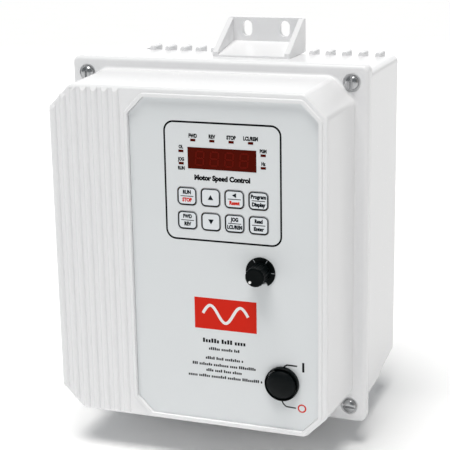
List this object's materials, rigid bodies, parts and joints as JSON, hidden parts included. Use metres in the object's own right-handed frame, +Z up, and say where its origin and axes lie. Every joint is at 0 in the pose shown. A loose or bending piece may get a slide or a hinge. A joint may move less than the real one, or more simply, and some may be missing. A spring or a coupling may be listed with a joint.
{
  "type": "variable frequency drive",
  "caption": "Wall-mounted variable frequency drive in a sealed white die-cast enclosure, with a hinged cover, keypad, display, speed knob, power switch and finned back.",
  "frame": {"origin": "on the wall plane behind the middle fin of the heat sink, midway between the two mounting brackets and between the sides of the cover flange", "axes": "+Z up, +Y from the front of the drive into the wall, +X to the right as seen from the front"},
  "size_m": [0.1919, 0.1571, 0.2448],
  "materials": {
    "white_enamel": "gloss",
    "seal_rubber": "matte",
    "steel": "satin",
    "circuit_board": "gloss",
    "black_moulding": "matte",
    "capacitor_sleeve": "gloss",
    "ferrite": "matte",
    "copper": "gloss",
    "ivory_moulding": "satin",
    "green_moulding": "satin",
    "green_steel": "satin",
    "label_film": "satin",
    "red_window": "gloss",
    "amber_film": "satin",
    "clear_sheet": "gloss",
    "black_gloss": "gloss",
    "boot_rubber": "satin",
    "white_paint": "gloss",
    "pot_case": "satin"
  },
  "bodies": {
    "base": {"base_housing": "white_enamel", "heat_sink": "white_enamel", "top_bracket": "white_enamel", "bottom_bracket": "white_enamel", "cover_gasket": "seal_rubber", "hinge_pins": "steel", "power_board": "circuit_board", "power_board_screws": "steel", "power_module": "black_moulding", "bus_capacitors": "capacitor_sleeve", "line_choke_core": "ferrite", "line_choke_winding": "copper", "supply_transformer": "black_moulding", "precharge_relay": "ivory_moulding", "power_terminals": "black_moulding", "power_terminal_screws": "steel", "control_terminals": "green_moulding", "ground_screws": "green_steel", "conduit_plug": "black_moulding", "conduit_plug_seal": "seal_rubber", "conduit_locknut": "black_moulding", "board_socket": "black_moulding"},
    "cover": {"cover_shell": "white_enamel", "label_film": "label_film", "display_window": "red_window", "display_module": "black_moulding", "indicator_lenses": "red_window", "indicator_leds": "red_window", "keypad_circuit": "amber_film", "keypad_domes": "steel", "control_board": "circuit_board", "board_spacers": "steel", "shield_screws": "steel", "control_chips": "black_moulding", "board_shield": "clear_sheet", "speed_dial": "black_gloss", "speed_pot": "pot_case", "speed_pot_nut": "steel", "switch_bezel": "black_gloss", "switch_body": "black_moulding"},
    "speed_control": {"speed_knob": "black_gloss", "knob_pointer": "white_paint", "speed_shaft": "steel"},
    "power_switch": {"switch_cap": "boot_rubber", "switch_rocker": "black_moulding"},
    "screw_top_left": {"cover_screw_top_left": "steel"},
    "screw_top_right": {"cover_screw_top_right": "steel"},
    "screw_bottom_left": {"cover_screw_bottom_left": "steel"},
    "screw_bottom_right": {"cover_screw_bottom_right": "steel"},
    "key_run_cap": {"key_run": "label_film"},
    "key_up_cap": {"key_up": "label_film"},
    "key_reset_cap": {"key_reset": "label_film"},
    "key_program_cap": {"key_program": "label_film"},
    "key_forward_cap": {"key_forward": "label_film"},
    "key_down_cap": {"key_down": "label_film"},
    "key_jog_cap": {"key_jog": "label_film"},
    "key_enter_cap": {"key_enter": "label_film"}
  },
  "joints": [
    {"name": "cover_hinge", "type": "hinge", "parent": "base", "child": "cover", "pos_m": [-0.0962, -0.0925, 0], "axis": [0, 0, -1], "range_deg": [0, 110]},
    {"name": "speed_turn", "type": "hinge", "parent": "cover", "child": "speed_control", "pos_m": [0.0437, -0.147, -0.003], "axis": [0, 1, 0], "range_deg": [-12, 288]},
    {"name": "switch_tilt", "type": "hinge", "parent": "cover", "child": "power_switch", "pos_m": [0.0561, -0.146, -0.0677], "axis": [-1, 0, 0], "range_deg": [0, 14]},
    {"name": "top_left_screw_slide", "type": "slide", "parent": "cover", "child": "screw_top_left", "axis": [0, -1, 0], "range_m": [0, 0.006]},
    {"name": "top_right_screw_slide", "type": "slide", "parent": "cover", "child": "screw_top_right", "axis": [0, -1, 0], "range_m": [0, 0.006]},
    {"name": "bottom_left_screw_slide", "type": "slide", "parent": "cover", "child": "screw_bottom_left", "axis": [0, -1, 0], "range_m": [0, 0.006]},
    {"name": "bottom_right_screw_slide", "type": "slide", "parent": "cover", "child": "screw_bottom_right", "axis": [0, -1, 0], "range_m": [0, 0.006]},
    {"name": "key_run_press", "type": "slide", "parent": "cover", "child": "key_run_cap", "axis": [0, 1, 0], "range_m": [0, 0.0004], "stiffness_N_per_m": 5000},
    {"name": "key_up_press", "type": "slide", "parent": "cover", "child": "key_up_cap", "axis": [0, 1, 0], "range_m": [0, 0.0004], "stiffness_N_per_m": 5000},
    {"name": "key_reset_press", "type": "slide", "parent": "cover", "child": "key_reset_cap", "axis": [0, 1, 0], "range_m": [0, 0.0004], "stiffness_N_per_m": 5000},
    {"name": "key_program_press", "type": "slide", "parent": "cover", "child": "key_program_cap", "axis": [0, 1, 0], "range_m": [0, 0.0004], "stiffness_N_per_m": 5000},
    {"name": "key_forward_press", "type": "slide", "parent": "cover", "child": "key_forward_cap", "axis": [0, 1, 0], "range_m": [0, 0.0004], "stiffness_N_per_m": 5000},
    {"name": "key_down_press", "type": "slide", "parent": "cover", "child": "key_down_cap", "axis": [0, 1, 0], "range_m": [0, 0.0004], "stiffness_N_per_m": 5000},
    {"name": "key_jog_press", "type": "slide", "parent": "cover", "child": "key_jog_cap", "axis": [0, 1, 0], "range_m": [0, 0.0004], "stiffness_N_per_m": 5000},
    {"name": "key_enter_press", "type": "slide", "parent": "cover", "child": "key_enter_cap", "axis": [0, 1, 0], "range_m": [0, 0.0004], "stiffness_N_per_m": 5000}
  ]
}
